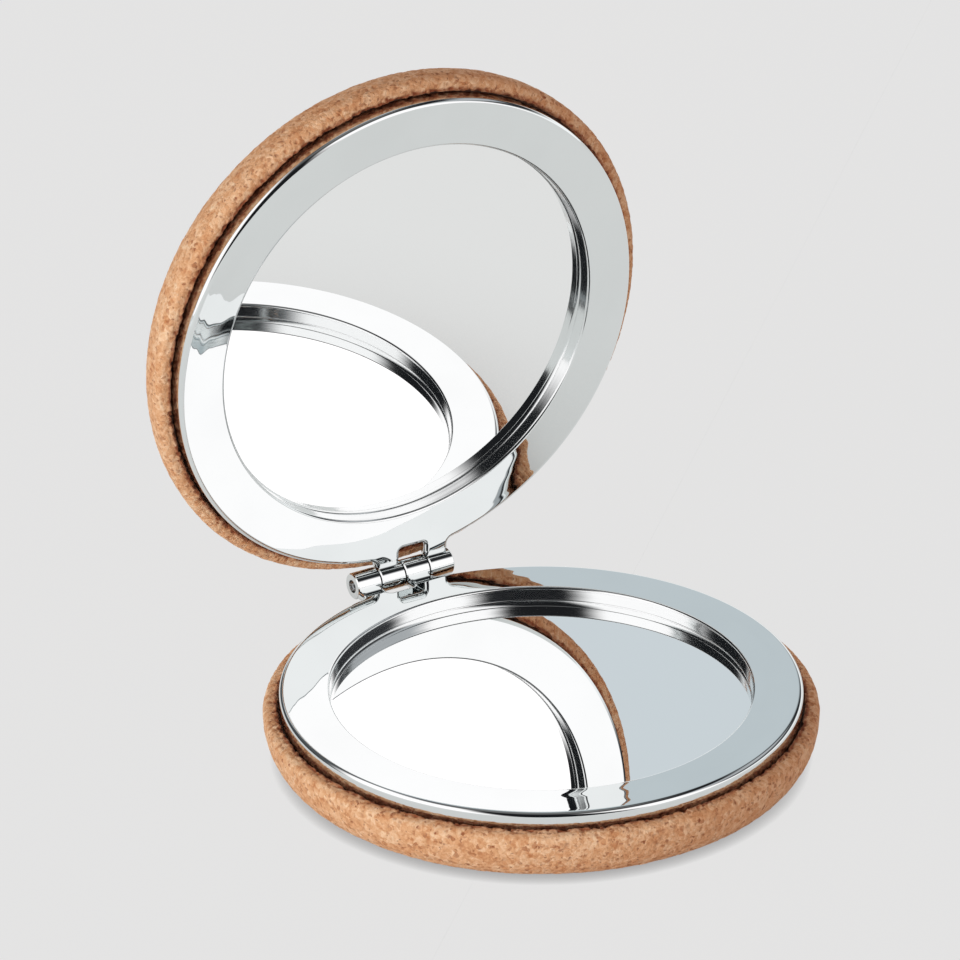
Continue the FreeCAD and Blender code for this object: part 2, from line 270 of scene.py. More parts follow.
class Nodes:
    """The nodes of one material or world."""

    def __init__(self, tree):
        tree.nodes.clear()
        self.tree = tree

    def add(self, kind, settings=None, sockets=None):
        """Adds a node of that type: its settings first, then the values or links of its sockets."""
        node = self.tree.nodes.new(kind)
        for key, value in (settings or {}).items():
            if key == "stops":
                self.set_stops(node.color_ramp, value)
            else:
                setattr(node, key, value)
        for key, value in (sockets or {}).items():
            self.feed(self.find(node.inputs, key), value)
        return node

    def set_stops(self, ramp, stops):
        while len(ramp.elements) < len(stops):
            ramp.elements.new(1.0)
        for element, (position, tone) in zip(ramp.elements, stops):
            element.position = position
            element.color = (*tone, 1.0)

    def find(self, sockets, key):
        """The socket with that number, identifier or name."""
        if isinstance(key, int):
            return sockets[key]
        return next(s for s in sockets if key in (s.identifier, s.name))

    def feed(self, socket, value):
        if isinstance(value, Number):
            value = value.socket
        if isinstance(value, bpy.types.NodeSocket):
            self.tree.links.new(value, socket)
        elif socket.type == "RGBA" and len(value) == 3:
            socket.default_value = (*value, 1.0)
        else:
            socket.default_value = value

    def math(self, operation, *values):
        node = self.add("ShaderNodeMath", {"operation": operation}, dict(enumerate(values)))
        return Number(self, node.outputs[0])

    def step(self, value, low, high):
        """0 below low, 1 above high and a smooth rise between."""
        node = self.add(
            "ShaderNodeMapRange",
            {"interpolation_type": "SMOOTHSTEP"},
            {"Value": value, "From Min": low, "From Max": high},
        )
        return Number(self, node.outputs["Result"])

    def vector_math(self, operation, *values):
        node = self.add("ShaderNodeVectorMath", {"operation": operation}, dict(enumerate(values)))
        return node.outputs["Vector"]

    def scaled(self, vector, x, y, z):
        """A vector whose parts are multiplied by x, y and z."""
        return self.vector_math("MULTIPLY", vector, (x, y, z))

    def split(self, vector):
        node = self.add("ShaderNodeSeparateXYZ", sockets={"Vector": vector})
        return [Number(self, socket) for socket in node.outputs]

    def join(self, x, y, z):
        return self.add("ShaderNodeCombineXYZ", sockets={"X": x, "Y": y, "Z": z}).outputs["Vector"]

    def blend(self, factor, a, b):
        """Colour a at factor 0 and colour b at factor 1."""
        sockets = {"Factor_Float": factor, "A_Color": a, "B_Color": b}
        node = self.add("ShaderNodeMix", {"data_type": "RGBA"}, sockets)
        return self.find(node.outputs, "Result_Color")

    def noise(self, vector, size, detail=2.0, roughness=0.5):
        """Soft noise from 0 to 1 whose features are about that size in metres."""
        sockets = {"Vector": vector, "Scale": 1 / size, "Detail": detail, "Roughness": roughness}
        return Number(self, self.add("ShaderNodeTexNoise", sockets=sockets).outputs["Fac"])

    def cells(self, vector, size):
        """A Voronoi node whose cells are about that size in metres."""
        return self.add("ShaderNodeTexVoronoi", sockets={"Vector": vector, "Scale": 1 / size})

    def object_point(self):
        return self.add("ShaderNodeTexCoord").outputs["Object"]

    def leaf_point(self, leaf):
        """A point of a piece in its leaf's own coordinates, as if the leaf were the base."""
        place = LEAVES[leaf]
        sockets = {
            "Vector": self.object_point(),
            "Location": place.to_translation(),
            "Rotation": place.to_euler(),
        }
        return self.add("ShaderNodeMapping", {"vector_type": "TEXTURE"}, sockets).outputs["Vector"]

    def bump(self, height):
        """A normal for a height in metres."""
        sockets = {"Strength": 1.0, "Distance": 1.0, "Height": height}
        return self.add("ShaderNodeBump", sockets=sockets).outputs["Normal"]

    def surface(self, sockets):
        """Ends a material in a Principled shader."""
        shader = self.add("ShaderNodeBsdfPrincipled", sockets=sockets)
        self.add("ShaderNodeOutputMaterial", sockets={"Surface": shader.outputs["BSDF"]})


def new_material(name):
    made = bpy.data.materials.new(name)
    made.use_nodes = True
    return made, Nodes(made.node_tree)


# Finishes

# Sizes of the cork's marks, in granules.
CHIP = 0.42
FLAKE = 0.26
BLOTCH = 4.0
MOTTLE = 0.8
GRAIN = 0.12
# How far the granules' outlines wander, in granules, and how often they turn along one.
WANDER = 0.7
WANDER_TURNS = 1.4


def dimmed(tone, kept):
    """A colour with that share of its light."""
    return tuple(kept * part for part in tone)


def cork_finish(look):
    """Pressed cork: granules, chips and flakes of many tones, some of them burnt, the mesh's dark pits, and
    painted shade on the torn edge and the side beside the frame, from the mesh's pit attribute.
    """
    made, nodes = new_material("cork")
    point = nodes.object_point()
    wandering = {"Vector": point, "Scale": WANDER_TURNS / look.granule, "Detail": 3.0}
    wander = nodes.add("ShaderNodeTexNoise", sockets=wandering).outputs["Color"]
    centred = nodes.vector_math("SUBTRACT", wander, (0.5, 0.5, 0.5))
    drift = nodes.scaled(centred, *[WANDER * look.granule] * 3)
    warped = nodes.vector_math("ADD", point, drift)

    granule = nodes.split(nodes.cells(warped, look.granule).outputs["Color"])[0]
    chips = nodes.cells(warped, CHIP * look.granule)
    chip = nodes.split(chips.outputs["Color"])[1]
    burn, _, flake = nodes.split(nodes.cells(warped, FLAKE * look.granule).outputs["Color"])
    blotch = nodes.noise(point, BLOTCH * look.granule)
    mottle = nodes.noise(point, MOTTLE * look.granule, detail=3.0, roughness=0.55)
    grain = nodes.noise(point, GRAIN * look.granule)
    speck = nodes.step(burn + 0.25 * mottle, 1.065, 1.12)
    scorch = nodes.step(chip + 0.2 * mottle, 0.98, 1.1)

    shifts = ((granule, 0.28), (chip, -0.3), (flake, 0.2), (blotch, 0.3), (mottle, 0.55), (grain, 0.3))
    tone = 0.5
    for mark, weight in shifts:
        tone = tone + weight * (mark - 0.5)
    stops = [(0.12, look.brown), (0.48, look.tan), (0.9, look.pale)]
    body = nodes.add("ShaderNodeValToRGB", {"stops": stops}, {"Fac": tone}).outputs["Color"]
    # The pit attribute holds the pits and the painted shade of the gap beside the frame; both blend towards
    # burnt.
    pits = Number(nodes, nodes.add("ShaderNodeAttribute", {"attribute_name": "pit"}).outputs["Fac"])
    shade = nodes.math("MINIMUM", 0.65 * speck + 0.45 * scorch + pits, 1.0)
    dome = Number(nodes, chips.outputs["Distance"])
    height = look.relief * (0.7 * mottle + 0.4 * grain + 0.25 * flake - 0.7 * dome - 0.25 * speck)
    nodes.surface({
        "Base Color": nodes.blend(shade, body, look.burnt),
        "Roughness": 0.62 + 0.2 * grain,
        "Specular IOR Level": 0.5,
        "Normal": nodes.bump(height),
    })
    return made


def chrome_finish(leaf, look):
    """Bright plating over a casting that is rippled round the leaf, with turning lines on the opening's wall,
    which ends a little way in from the mirror's edge."""
    ripple_squeeze, line_squeeze = 0.12, 0.01
    wall_start, wall_end = GLASS_BOX[1].x - 0.0025, GLASS_BOX[1].x - 0.0020
    hair_length, hair_squeeze, handled_size = 0.004, 14.0, 0.011
    made, nodes = new_material("chrome_" + leaf)
    point = nodes.leaf_point(leaf)
    x, y, z = nodes.split(point)
    radius = (x * x + y * y) ** 0.5
    rippled = nodes.join(radius, ripple_squeeze * x, ripple_squeeze * y)
    ripple = nodes.noise(rippled, look.ripple_size, detail=1.0)
    lines = nodes.noise(nodes.join(line_squeeze * x, line_squeeze * y, z), look.line_pitch)
    on_wall = 1 - nodes.step(radius, wall_start, wall_end)
    hairs = nodes.noise(nodes.scaled(point, 1.0, hair_squeeze, 1.0), hair_length, detail=5.0)
    handled = nodes.noise(point, handled_size, detail=3.0)
    height = look.ripple * ripple + look.line * (lines * on_wall)
    nodes.surface({
        "Base Color": nodes.blend(nodes.step(handled, 0.35, 0.8), look.tint, dimmed(look.tint, 0.97)),
        "Metallic": 1.0,
        "Roughness": look.roughness * (0.55 + 0.6 * handled + 0.3 * hairs) + look.wall_roughness * on_wall,
        "Normal": nodes.bump(height),
    })
    return made


def mirror_finish(leaf, look):
    """Silvered glass: a flat bright face with faint smears, a green ground edge and a lacquered back."""
    arris, smear_size, edge_roughness = 0.00005, 0.012, 0.35
    made, nodes = new_material("mirror_" + leaf)
    point = nodes.leaf_point(leaf)
    z = nodes.split(point)[2]
    bottom, top = GLASS_BOX[0].z, GLASS_BOX[1].z
    faced = nodes.step(z, top - arris, top - arris / 2)
    backed = 1 - nodes.step(z, bottom + arris / 2, bottom + arris)
    smear = nodes.noise(nodes.scaled(point, 1.0, 3.0, 1.0), smear_size, detail=4.0)
    dull = nodes.blend(backed, look.edge, look.lacquer)
    nodes.surface({
        "Base Color": nodes.blend(faced, dull, look.silver),
        "Metallic": faced,
        "Roughness": look.smudge * nodes.step(smear, 0.5, 0.85) + edge_roughness * (1 - faced),
    })
    return made


def tin_finish(leaf, look):
    """Tinned sheet: pale metal with a faint spangle and drawing marks, and a dark matt band along its top that
    is painted shade, where the tray shows in the gap beside the cork.
    """
    spangle_size, mark_size, mark_height, gap_shade_depth = 0.0022, 0.0016, 0.000004, 0.0012
    made, nodes = new_material("tinplate_" + leaf)
    point = nodes.leaf_point(leaf)
    top = TRAY_BOX[1].z
    spangle = nodes.split(nodes.cells(point, spangle_size).outputs["Color"])[0]
    marks = nodes.noise(nodes.scaled(point, 1.0, 1.0, 9.0), mark_size, detail=5.0)
    # Painted shade: the tray's top, seen in the gap beside the cork, is dark and matt.
    gap_shade_band = nodes.step(nodes.split(point)[2], top - gap_shade_depth, top - gap_shade_depth / 2)
    sheet = nodes.blend(0.6 * spangle + 0.3 * marks, look.tin, dimmed(look.tin, 0.86))
    nodes.surface({
        "Base Color": nodes.blend(gap_shade_band, sheet, look.glue),
        "Metallic": 1 - gap_shade_band,
        "Roughness": 0.28 + 0.14 * spangle + 0.1 * marks + 0.3 * gap_shade_band,
        "Normal": nodes.bump(mark_height * marks),
    })
    return made


def board_finish(look):
    """Grey board: matted fibres with darker flecks."""
    fibre_size, fibre_height, fleck_size = 0.0012, 0.00004, 0.0007
    made, nodes = new_material("grey_board")
    point = nodes.object_point()
    fibres = nodes.noise(nodes.scaled(point, 1.0, 4.0, 1.0), fibre_size, detail=6.0, roughness=0.7)
    fleck = nodes.step(nodes.split(nodes.cells(point, fleck_size).outputs["Color"])[2], 0.9, 0.97)
    nodes.surface({
        "Base Color": nodes.blend(0.7 * fibres + 0.4 * fleck, look.board, dimmed(look.board, 0.6)),
        "Roughness": 0.9,
        "Normal": nodes.bump(fibre_height * fibres),
    })
    return made


def foam_finish(look):
    """White foam: open pores of two sizes in a matt skin."""
    pore_size, fine_size, pore_depth = 0.0006, 0.00025, 0.00012
    made, nodes = new_material("foam")
    point = nodes.object_point()
    pores = Number(nodes, nodes.cells(point, pore_size).outputs["Distance"])
    fine = Number(nodes, nodes.cells(point, fine_size).outputs["Distance"])
    open_pore = 1 - nodes.step(pores, 0.12, 0.42)
    nodes.surface({
        "Base Color": nodes.blend(0.75 * open_pore + 0.2 * fine, look.foam, dimmed(look.foam, 0.62)),
        "Roughness": 0.95,
        "Normal": nodes.bump(pore_depth * (pores + 0.3 * fine)),
    })
    return made


def steel_finish(look):
    """Drawn steel: fine lines along the pin and a faintly oiled bloom."""
    line_pitch, line_height, bloom_size = 0.0002, 0.000003, 0.003
    made, nodes = new_material("steel")
    point = nodes.object_point()
    lines = nodes.noise(nodes.scaled(point, 0.08, 1.0, 1.0), line_pitch, detail=4.0)
    bloom = nodes.noise(point, bloom_size, detail=3.0)
    nodes.surface({
        "Base Color": nodes.blend(0.6 * bloom, look.steel, dimmed(look.steel, 0.7)),
        "Metallic": 1.0,
        "Roughness": 0.2 + 0.15 * lines + 0.1 * bloom,
        "Normal": nodes.bump(line_height * lines),
    })
    return made


# Surfaces

def arc(centre, start, end, points):
    """A quarter of an ellipse about a centre, without its last point: cosine of start and sine of end."""
    turn = np.linspace(0, math.pi / 2, points, endpoint=False)[:, None]
    centre, start, end = (np.array(p) for p in (centre, start, end))
    return centre + np.cos(turn) * (start - centre) + np.sin(turn) * (end - centre)


def run(start, end, points):
    """A straight stretch from start to end, without its last point."""
    along = np.linspace(0, 1, points, endpoint=False)[:, None]
    return np.array(start) + along * (np.array(end) - np.array(start))


def turned(outline, columns):
    """An outline of radius and height carried round z: (r cos a, r sin a, h) at that many angles a."""
    around = np.linspace(0, 2 * math.pi, columns, endpoint=False)
    radius, height = outline[:, 0, None], outline[:, 1, None]
    return np.stack([radius * np.cos(around), radius * np.sin(around), height + 0 * around], axis=-1)


def outward(outline, columns):
    """The turned outline's normals: its tangent, turned a quarter in the section and carried round."""
    tangent = np.gradient(outline, axis=0)
    normal = np.stack([tangent[:, 1], -tangent[:, 0]], axis=-1)
    return turned(normal / np.linalg.norm(normal, axis=1, keepdims=True), columns)


# Large odd numbers that mix a cell's three numbers and its salt, and what a mixed number keeps of its bits.
CELL_MIX = np.array([73856093, 19349663, 83492791])
SALT_MIX = 2654435761
BIT_MIX = np.uint64(0x45D9F3B)
HALF = np.uint64(16)
WORD = np.uint64(0xFFFFFFFF)
LOW_BITS = np.uint64(0xFFFFFF)


def cell_random(cells, salt):
    """A repeatable number from 0 to 1 for each integer cell, by mixing its three numbers."""
    mixed = (cells.astype(np.int64) * CELL_MIX).sum(-1) + salt * SALT_MIX
    mixed = mixed.astype(np.uint64)
    for _ in range(2):
        mixed = ((mixed >> HALF) ^ mixed) * BIT_MIX & WORD
    return (((mixed >> HALF) ^ mixed) & LOW_BITS) / float(LOW_BITS)


def granule_field(points, size, salt):
    """Scattered centres, one in each cube of that size: the nearest one's distance, the next one's less it,
    both in cubes, and a number from 0 to 1 for the nearest."""
    scaled = points / size
    home = np.floor(scaled)
    nearest = np.full(points.shape[:-1], 9.0)
    second = nearest.copy()
    mark = np.zeros_like(nearest)
    for offset in np.stack(np.meshgrid(*[(-1, 0, 1)] * 3), axis=-1).reshape(-1, 3):
        cell = home + offset
        centre = cell + np.stack([cell_random(cell, salt + k) for k in range(3)], axis=-1)
        gap = np.linalg.norm(scaled - centre, axis=-1)
        closer = gap < nearest
        second = np.where(closer, nearest, np.minimum(second, gap))
        mark = np.where(closer, cell_random(cell, salt + 3), mark)
        nearest = np.where(closer, gap, nearest)
    return nearest, second - nearest, mark


def turned_mesh(name, points):
    """A closed mesh on a grid of rows: each closes on itself, and the first and the last are poles."""
    rows, columns = points.shape[:2]
    body = points[1:-1]
    vertices = np.concatenate([points[0, :1], body.reshape(-1, 3), points[-1, :1]])
    ring = np.arange(columns)
    after = (ring + 1) % columns
    row = 1 + columns * np.arange(rows - 3)[:, None]
    quads = np.stack([row + ring, row + after, row + columns + after, row + columns + ring], axis=-1)
    last_row = 1 + columns * (rows - 3)
    last = np.full(columns, len(vertices) - 1)
    first_fan = np.stack([0 * ring, 1 + after, 1 + ring], axis=-1)
    last_fan = np.stack([last, last_row + ring, last_row + after], axis=-1)
    mesh = bpy.data.meshes.new(name)
    faces = quads.reshape(-1, 4).tolist() + first_fan.tolist() + last_fan.tolist()
    mesh.from_pydata(vertices.tolist(), [], faces)
    mesh.shade_smooth()
    return mesh


def per_vertex(grid):
    """A grid's values in the order of turned_mesh's vertices."""
    return np.concatenate([grid[0, :1], grid[1:-1].ravel(), grid[-1, :1]])


def placed(points, leaf):
    """Points of the base's leaf, carried to that leaf."""
    place = np.array(LEAVES[leaf])
    return points @ place[:3, :3].T + place[:3, 3]


def new_piece(name, mesh, finish):
    mesh.materials.append(finish)
    piece = bpy.data.objects.new(name, mesh)
    bpy.context.scene.collection.objects.link(piece)
    return piece


def cork_outline(look):
    """The cover's section from the middle of its back, out round an oval shoulder, over the rim and in to the
    middle of its floor, and how much of the relief each point takes: none on the flat back, whose rows are
    too far apart for it, and none where the cork lies on the tray."""
    radius, rim = CORK_BOX[1].x, CORK_BOX[1].z
    inner = TRAY_BOX[1].x + look.glue
    floor = TRAY_BOX[0].z - look.glue
    flat = radius - look.shoulder_width
    crest = radius - look.rim_round
    hollow = inner - look.inner_corner
    widest = rim - look.rim_round
    wall_top = rim - look.edge_depth
    top_inner = inner + look.edge_width
    edge = inner - look.fringe
    bend = floor + look.inner_corner
    stretches = [
        (run((0, 0), (flat, 0), 30), 0.0),
        (arc((flat, widest), (flat, 0), (radius, widest), 34), 1.0),
        (arc((crest, widest), (radius, widest), (crest, rim), 12), 1.0),
        (run((crest, rim), (top_inner, rim), 4), 1.0),
        (arc((top_inner, wall_top), (top_inner, rim), (edge, wall_top), 10), 1.0),
        (run((edge, wall_top), (inner, wall_top - look.glue), 1), 0.0),
        (run((inner, wall_top - look.glue), (inner, bend), 4), 0.0),
        (arc((hollow, bend), (inner, bend), (hollow, floor), 4), 0.0),
        (run((hollow, floor), (0, floor), 3), 0.0),
        (np.array([(0.0, floor)]), 0.0),
    ]
    outline = np.concatenate([points for points, _ in stretches])
    taken = np.concatenate([np.full(len(points), weight) for points, weight in stretches])
    return outline, taken


# The cork's pits, tears and shreds: the size of their cells in granules, and what they add to the salt.
CORK_MARKS = ((0.6, 7), (0.65, 13), (0.32, 19))
# Their widths, and a seam's, in cells.
SEAM_WIDTH = 0.16
PIT_WIDTH = 0.45
TEAR_WIDTH = 0.7
SHRED_WIDTH = 0.6
# The shares of the cells without a pit and without a tear.
UNPITTED = 0.86
UNTORN = 0.5


def fade(start, distance, width):
    """How strong a mark is at a distance: start less the distance in widths, from 0 to 1."""
    return np.clip(start - distance / width, 0, 1)


def cork_surface(look, leaf, salt):
    """The turned section in relief: each granule stands at its own height, half of it above the section on
    the side, the seams and scattered pits lie deeper, and the rim's edge beside the frame is torn. The mesh's
    pit attribute says how dark each point is: dark pits, and painted shade on the torn edge and on the side
    beside the frame, where the gap's shade falls."""
    outline, taken = cork_outline(look)
    taken = taken[:, None]
    skin = turned(outline, look.columns)
    radius, height = outline[:, :1], outline[:, 1:]
    _, seam_gap, granule_height = granule_field(skin, look.granule, salt)
    fields = [granule_field(skin, size * look.granule, salt + more) for size, more in CORK_MARKS]
    (pit_gap, _, pit_mark), (tear_gap, _, tear_mark), (shred_gap, _, shred_mark) = fields
    seam = np.exp(-((seam_gap / SEAM_WIDTH) ** 2))
    pit = fade(1.15, pit_gap, PIT_WIDTH) * (pit_mark > UNPITTED) * taken
    beside = radius - TRAY_BOX[1].x - look.glue
    torn = fade(1.5, beside, look.torn_width) * (height > CORK_BOX[1].z - 2 * look.edge_depth)
    tear = fade(1.25, tear_gap, TEAR_WIDTH) * (tear_mark > UNTORN) * tear_mark
    tear = torn * (tear + 0.6 * fade(1.2, shred_gap, SHRED_WIDTH) * shred_mark)
    proud = 0.45 * np.clip(height / look.shoulder_width, 0, 1)
    depth = look.relief * (0.55 * (1 - granule_height) + 0.45 * seam - proud)
    depth = depth + look.pit * pit + look.rag * tear
    cut = skin - outward(outline, look.columns) * (depth * taken)[..., None]
    cut[..., 2] += look.swell * torn * taken
    mesh = turned_mesh(leaf + "_cork", placed(cut, leaf))
    # Painted shade: the tears and the cork's side beside the frame are darkened where the gap's shade falls.
    crumb = 0.5 * tear_mark + 0.5 * shred_mark
    inside = fade(1.2 + crumb, 1.2 * beside, look.torn_width) * (height > TRAY_BOX[0].z)
    marks = np.clip(0.6 * pit + 0.5 * tear + (0.6 + 0.3 * crumb) * inside, 0, 1)
    pits_and_painted_shade = mesh.attributes.new("pit", "FLOAT", "POINT").data
    pits_and_painted_shade.foreach_set("value", per_vertex(marks).astype(np.float32))
    return mesh


class Stretch(NamedTuple):
    """A stretch of the frame's plan: its points, its normals and how deep the wall below them goes."""

    points: np.ndarray
    normals: np.ndarray
    depth: np.ndarray


class Band(NamedTuple):
    """Rows of a surface and the normals on them. Where two bands meet, each has its own normals."""

    points: np.ndarray
    normals: np.ndarray


def straight(start, end, points, depth):
    """A straight stretch, whose outside is on the right of the way along it."""
    way = np.subtract(end, start) / math.dist(start, end)
    places = run(start, end, points)
    return Stretch(places, np.broadcast_to((way[1], -way[0]), places.shape), np.full(points, depth))


def bow(centre, radius, start, end, points, depth):
    """A circular stretch from one angle to another, which bulges anticlockwise and is hollow clockwise."""
    turn = np.linspace(start, end, points, endpoint=False)
    spoke = np.stack([np.cos(turn), np.sin(turn)], axis=-1)
    normals = math.copysign(1, end - start) * spoke
    return Stretch(np.array(centre) + radius * spoke, normals, np.full(points, depth))


def finger_tip(right, left, end, corner, depth):
    """The free end of a finger: round its right corner, straight across and round its left corner."""
    top, quarter = end - corner, math.pi / 2
    return [
        bow((right - corner, top), corner, 0, quarter, 6, depth),
        straight((right - corner, end), (left + corner, end), 6, depth),
        bow((left + corner, top), corner, quarter, math.pi, 6, depth),
    ]


# A finger's corners are a little rounder than the face's edge, so that the edge never closes up on them.
CORNER_EASE = 1.15
# Where a frame's two knuckles lie along the hinge, in pitches. The other frame's lie beside them.
KNUCKLE_LEFT = -1.5
KNUCKLE_RIGHT = 0.5


def frame_plan(shape):
    """The frame from above, anticlockwise from the root of its right finger: round that finger, in and out of
    the notch, round the left finger and along the rim, all of it lines and tangent arcs. The fingers end
    inside the knuckles."""
    finger, hollow = shape.face_thickness, shape.notch_depth
    fillet, corner, nook = shape.finger_fillet, CORNER_EASE * shape.outer_round, shape.notch_fillet
    pitch = shape.knuckle_length + shape.knuckle_gap
    half = shape.knuckle_length / 2 - HAIR
    right, gap_right = KNUCKLE_RIGHT * pitch + half, KNUCKLE_RIGHT * pitch - half
    gap_left, left = KNUCKLE_LEFT * pitch + half, KNUCKLE_LEFT * pitch - half
    end = HINGE_POINT.y - shape.knuckle_radius / 2
    top = end - corner
    bottom = RIM_RADIUS - shape.notch_bite
    low = bottom + nook
    edge_right, edge_left = (math.sqrt(RIM_RADIUS ** 2 - x ** 2) for x in (gap_right, gap_left))
    root_right, root_left = (
        (x, math.sqrt((RIM_RADIUS + fillet) ** 2 - x ** 2)) for x in (right + fillet, left - fillet)
    )
    turn_right, turn_left = (math.atan2(y, x) for x, y in (root_right, root_left))
    quarter = math.pi / 2
    return [
        bow(root_right, fillet, turn_right + math.pi, math.pi, 12, finger),
        straight((right, root_right[1]), (right, top), 8, finger),
        *finger_tip(right, gap_right, end, corner, finger),
        straight((gap_right, top), (gap_right, edge_right + HAIR), 8, finger),
        straight((gap_right, edge_right + HAIR), (gap_right, edge_right), 1, finger),
        straight((gap_right, edge_right), (gap_right, low), 6, hollow),
        bow((gap_right - nook, low), nook, 0, -quarter, 10, hollow),
        straight((gap_right - nook, bottom), (gap_left + nook, bottom), 10, hollow),
        bow((gap_left + nook, low), nook, 3 * quarter, math.pi, 10, hollow),
        straight((gap_left, low), (gap_left, edge_left), 6, hollow),
        straight((gap_left, edge_left), (gap_left, edge_left + HAIR), 1, hollow),
        straight((gap_left, edge_left + HAIR), (gap_left, top), 8, finger),
        *finger_tip(gap_left, left, end, corner, finger),
        straight((left, top), (left, root_left[1]), 8, finger),
        bow(root_left, fillet, 0, turn_left - math.pi, 12, finger),
        bow((0, 0), RIM_RADIUS, turn_left, turn_right + 2 * math.pi, shape.rim_columns, finger),
    ]


# The share by which the angles of points in line are drawn apart.
DRAWN_APART = 0.01
# The rim's columns ease over in the first and the last of this many parts of it.
EASE_PARTS = 12


def level_turns(x, radius):
    """Angles at which a circle has these x, drawn a little apart so that no two are the same."""
    turn = np.arccos(x / radius)
    return (1 - DRAWN_APART) * turn + DRAWN_APART * np.linspace(turn[0], turn[-1], len(turn))


def frame_turns(flat_edge, plan, middle, rim_columns):
    """For each point of the plan, the angles round the leaf at which its column crosses the face's middle
    circle and the rim: level with the point along the hinge, straight out along the rim, and easing over
    between them."""
    hinge = len(plan) - rim_columns
    rim_turn = np.unwrap(np.arctan2(plan[hinge:, 1], plan[hinge:, 0]))
    on_rim = np.concatenate([level_turns(plan[:hinge, 0], RIM_RADIUS), rim_turn])
    level = level_turns(flat_edge[:hinge, 0], middle)
    along = EASE_PARTS * np.linspace(0, 1, rim_columns)
    ease = (level[-1] - on_rim[hinge - 1]) * np.clip(1 - along, 0, 1)
    ease = ease + (level[0] - on_rim[0]) * np.clip(along - EASE_PARTS + 1, 0, 1)
    return np.concatenate([level, rim_turn + ease]), on_rim


def raised(plan, depth):
    """Plan points at a depth below the face."""
    height = np.broadcast_to(FACE_HEIGHT - depth, plan.shape[:-1])
    return np.concatenate([plan, height[..., None]], axis=-1)


def circled(radius, depth, turn):
    """Points at a radius, a depth below the face and angles round the leaf."""
    height = FACE_HEIGHT - depth + 0 * turn
    return np.stack([radius * np.cos(turn), radius * np.sin(turn), height], axis=-1)


def leaning(out, up, turn):
    """Normals that lean out and up by those shares at angles round the leaf."""
    return np.stack([out * np.cos(turn), out * np.sin(turn), up + 0 * turn], axis=-1)


def section_band(start, end, start_turn, end_turn):
    """A straight stretch of the section, by radius and depth, carried round: its outside is on the left."""
    out, up = np.array([end[1] - start[1], end[0] - start[0]]) / math.dist(start, end)
    points = np.stack([circled(*start, start_turn), circled(*end, end_turn)])
    return Band(points, np.stack([leaning(out, up, start_turn), leaning(out, up, end_turn)]))


def ring_bands(shape):
    """The frame without its knuckles: a section carried along the plan. From the wall of the opening it goes
    over a quarter circle to the flat face, over another along the plan's normals to the wall below the plan,
    across to the rim, and back under the face past the step, the spigot, the rib, the lip and the bead."""
    plan, normals, depth = (np.concatenate(kind) for kind in zip(*frame_plan(shape)))
    opening = shape.opening_radius
    flat_inner = opening + shape.inner_round
    flat_edge = plan - shape.outer_round * normals
    middle = (flat_inner + RIM_RADIUS - shape.notch_bite - shape.outer_round) / 2
    turn, rim_turn = frame_turns(flat_edge, plan, middle, shape.rim_columns)
    sweep = np.linspace(0, math.pi / 2, shape.round_rows)[:, None]
    flat = leaning(0.0, 1.0, turn)

    inner_radius = flat_inner - shape.inner_round * np.cos(sweep)
    inner_points = circled(inner_radius, shape.inner_round * (1 - np.sin(sweep)), turn)
    face_points = [circled(flat_inner, 0.0, turn), circled(middle, 0.0, turn), raised(flat_edge, 0.0)]
    outer_plan = flat_edge + shape.outer_round * np.sin(sweep)[..., None] * normals
    outer_up = np.broadcast_to(np.cos(sweep), outer_plan.shape[:-1])
    outer_normals = np.concatenate([np.sin(sweep)[..., None] * normals, outer_up[..., None]], axis=-1)
    upright = np.concatenate([normals, 0 * depth[:, None]], axis=-1)
    below = depth + HAIR
    beyond = np.arange(len(plan)) < len(plan) - shape.rim_columns
    ledge_up = np.where(depth == shape.notch_depth, 1.0, -1.0) * beyond
    ledge = leaning(1.0 - beyond, ledge_up, rim_turn)
    rim_top = circled(RIM_RADIUS, below, rim_turn)
    rim_foot = circled(RIM_RADIUS, shape.rim_height, rim_turn)
    outward_rim = leaning(1.0, 0.0, rim_turn)
    bands = [
        Band(inner_points, leaning(-np.cos(sweep), np.sin(sweep), turn)),
        Band(np.stack(face_points), np.stack([flat] * 3)),
        Band(raised(outer_plan, shape.outer_round * (1 - np.cos(sweep))), outer_normals),
        Band(np.stack([raised(plan, shape.outer_round), raised(plan, depth)]), np.stack([upright] * 2)),
        Band(np.stack([raised(plan, depth), rim_top]), np.stack([ledge] * 2)),
        Band(np.stack([rim_top, rim_foot]), np.stack([outward_rim] * 2)),
    ]

    mirror = FACE_HEIGHT - GLASS_BOX[1].z
    card = FACE_HEIGHT - GLASS_BOX[0].z
    foot = FACE_HEIGHT - FRAME_BOX[0].z
    spigot = RIM_RADIUS - shape.step_width
    rib = GLASS_BOX[1].x + shape.mirror_play
    lip = opening + shape.lip_wall
    bead_top = mirror - shape.bead_height
    under = [
        (RIM_RADIUS, shape.rim_height),
        (spigot, shape.rim_height),
        (spigot, foot),
        (spigot - shape.spigot_wall, foot),
        (spigot - shape.spigot_wall, shape.face_thickness),
        (rib + shape.rib_wall, shape.face_thickness),
        (rib + shape.rib_wall, card),
        (rib, card),
        (rib, shape.face_thickness),
        (lip, shape.face_thickness),
        (lip, mirror),
        (opening - shape.bead_proud, mirror),
    ]
    turns = [rim_turn] * (len(under) - 1) + [turn]
    bands += [section_band(*pair) for pair in zip(under, under[1:], turns, turns[1:])]
    bead = opening - shape.draft
    bead_out = shape.bead_proud - shape.draft
    bead_in, bead_up = np.cos(sweep) / bead_out, np.sin(sweep) / shape.bead_height
    bead_points = circled(bead - bead_out * np.cos(sweep), mirror - shape.bead_height * np.sin(sweep), turn)
    slant = np.hypot(bead_in, bead_up)
    bands.append(Band(bead_points, leaning(-bead_in / slant, bead_up / slant, turn)))
    bands.append(section_band((bead, bead_top), (opening, shape.inner_round), turn, turn))
    return bands


